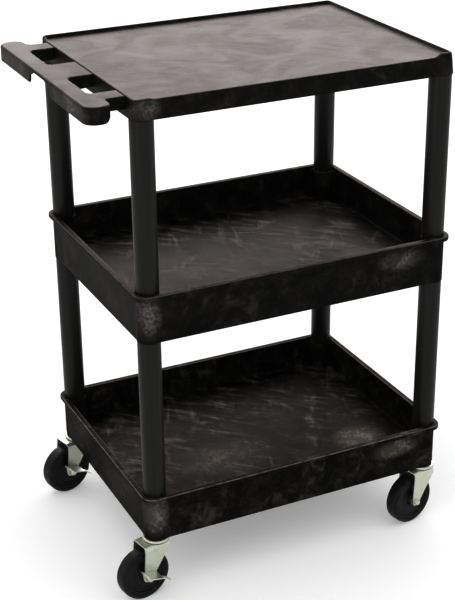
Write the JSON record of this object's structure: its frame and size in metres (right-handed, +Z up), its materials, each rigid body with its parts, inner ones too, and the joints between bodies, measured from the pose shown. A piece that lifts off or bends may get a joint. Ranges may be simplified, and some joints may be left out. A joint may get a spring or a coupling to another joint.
{
  "type": "rolling utility cart",
  "caption": "Black plastic rolling cart: flat top shelf with a side push handle, tub shelves below, tube legs and swivel stem casters with foot brakes.",
  "frame": {"origin": "centre of the bounding box footprint, on the floor under the wheels", "axes": "+X along the long side away from the handle, +Y to the back long side, +Z up"},
  "size_m": [0.7142, 0.509, 0.9743],
  "materials": {
    "shelf_plastic": "fine pebbled matt",
    "leg_plastic": "satin",
    "zinc_steel": "zinc plated, semi-gloss",
    "wheel_rubber": "matt",
    "hub_plastic": "satin",
    "bearing_steel": "oiled"
  },
  "bodies": {
    "cart_frame": {"top_shelf": "shelf_plastic", "push_handle": "shelf_plastic", "middle_tub": "shelf_plastic", "bottom_tub": "shelf_plastic", "handle_screw_back": "zinc_steel", "handle_screw_middle": "zinc_steel", "handle_screw_front": "zinc_steel", "upper_leg_front_left": "leg_plastic", "lower_leg_front_left": "leg_plastic", "caster_stem_front_left": "zinc_steel", "swivel_cup_front_left": "zinc_steel", "ball_race_front_left": "bearing_steel", "upper_leg_back_left": "leg_plastic", "lower_leg_back_left": "leg_plastic", "caster_stem_back_left": "zinc_steel", "swivel_cup_back_left": "zinc_steel", "ball_race_back_left": "bearing_steel", "upper_leg_front_right": "leg_plastic", "lower_leg_front_right": "leg_plastic", "caster_stem_front_right": "zinc_steel", "swivel_cup_front_right": "zinc_steel", "ball_race_front_right": "bearing_steel", "upper_leg_back_right": "leg_plastic", "lower_leg_back_right": "leg_plastic", "caster_stem_back_right": "zinc_steel", "swivel_cup_back_right": "zinc_steel", "ball_race_back_right": "bearing_steel"},
    "swivel_front_left": {"caster_fork_front_left": "zinc_steel", "axle_bushing_front_left": "bearing_steel", "axle_bolt_front_left": "zinc_steel", "axle_nut_front_left": "zinc_steel"},
    "wheel_front_left": {"wheel_tyre_front_left": "wheel_rubber", "wheel_hub_front_left": "hub_plastic"},
    "brake_front_left": {"brake_pedal_front_left": "zinc_steel"},
    "swivel_back_left": {"caster_fork_back_left": "zinc_steel", "axle_bushing_back_left": "bearing_steel", "axle_bolt_back_left": "zinc_steel", "axle_nut_back_left": "zinc_steel"},
    "wheel_back_left": {"wheel_tyre_back_left": "wheel_rubber", "wheel_hub_back_left": "hub_plastic"},
    "brake_back_left": {"brake_pedal_back_left": "zinc_steel"},
    "swivel_front_right": {"caster_fork_front_right": "zinc_steel", "axle_bushing_front_right": "bearing_steel", "axle_bolt_front_right": "zinc_steel", "axle_nut_front_right": "zinc_steel"},
    "wheel_front_right": {"wheel_tyre_front_right": "wheel_rubber", "wheel_hub_front_right": "hub_plastic"},
    "swivel_back_right": {"caster_fork_back_right": "zinc_steel", "axle_bushing_back_right": "bearing_steel", "axle_bolt_back_right": "zinc_steel", "axle_nut_back_right": "zinc_steel"},
    "wheel_back_right": {"wheel_tyre_back_right": "wheel_rubber", "wheel_hub_back_right": "hub_plastic"}
  },
  "joints": [
    {"name": "caster_swivel_front_left", "type": "hinge", "parent": "cart_frame", "child": "swivel_front_left", "pos_m": [-0.2547, -0.19692, 0.115], "axis": [0, 0, 1], "continuous": true},
    {"name": "wheel_roll_front_left", "type": "hinge", "parent": "swivel_front_left", "child": "wheel_front_left", "pos_m": [-0.28598, -0.20204, 0.0508], "axis": [-0.1616, 0.9869, 0], "continuous": true},
    {"name": "caster_swivel_back_left", "type": "hinge", "parent": "cart_frame", "child": "swivel_back_left", "pos_m": [-0.2547, 0.22608, 0.115], "axis": [0, 0, 1], "continuous": true},
    {"name": "wheel_roll_back_left", "type": "hinge", "parent": "swivel_back_left", "child": "wheel_back_left", "pos_m": [-0.28555, 0.21879, 0.0508], "axis": [-0.23, 0.9732, 0], "continuous": true},
    {"name": "caster_swivel_front_right", "type": "hinge", "parent": "cart_frame", "child": "swivel_front_right", "pos_m": [0.3285, -0.19692, 0.115], "axis": [0, 0, 1], "continuous": true},
    {"name": "wheel_roll_front_right", "type": "hinge", "parent": "swivel_front_right", "child": "wheel_front_right", "pos_m": [0.29756, -0.20384, 0.0508], "axis": [-0.2181, 0.9759, 0], "continuous": true},
    {"name": "caster_swivel_back_right", "type": "hinge", "parent": "cart_frame", "child": "swivel_back_right", "pos_m": [0.3285, 0.22608, 0.115], "axis": [0, 0, 1], "continuous": true},
    {"name": "wheel_roll_back_right", "type": "hinge", "parent": "swivel_back_right", "child": "wheel_back_right", "pos_m": [0.29711, 0.22167, 0.0508], "axis": [-0.1392, 0.9903, 0], "continuous": true},
    {"name": "brake_rock_front_left", "type": "hinge", "parent": "swivel_front_left", "child": "brake_front_left", "pos_m": [-0.28598, -0.20204, 0.0508], "axis": [-0.1616, 0.9869, 0], "range_deg": [-22, 0]},
    {"name": "brake_rock_back_left", "type": "hinge", "parent": "swivel_back_left", "child": "brake_back_left", "pos_m": [-0.28555, 0.21879, 0.0508], "axis": [-0.23, 0.9732, 0], "range_deg": [-22, 0]}
  ]
}
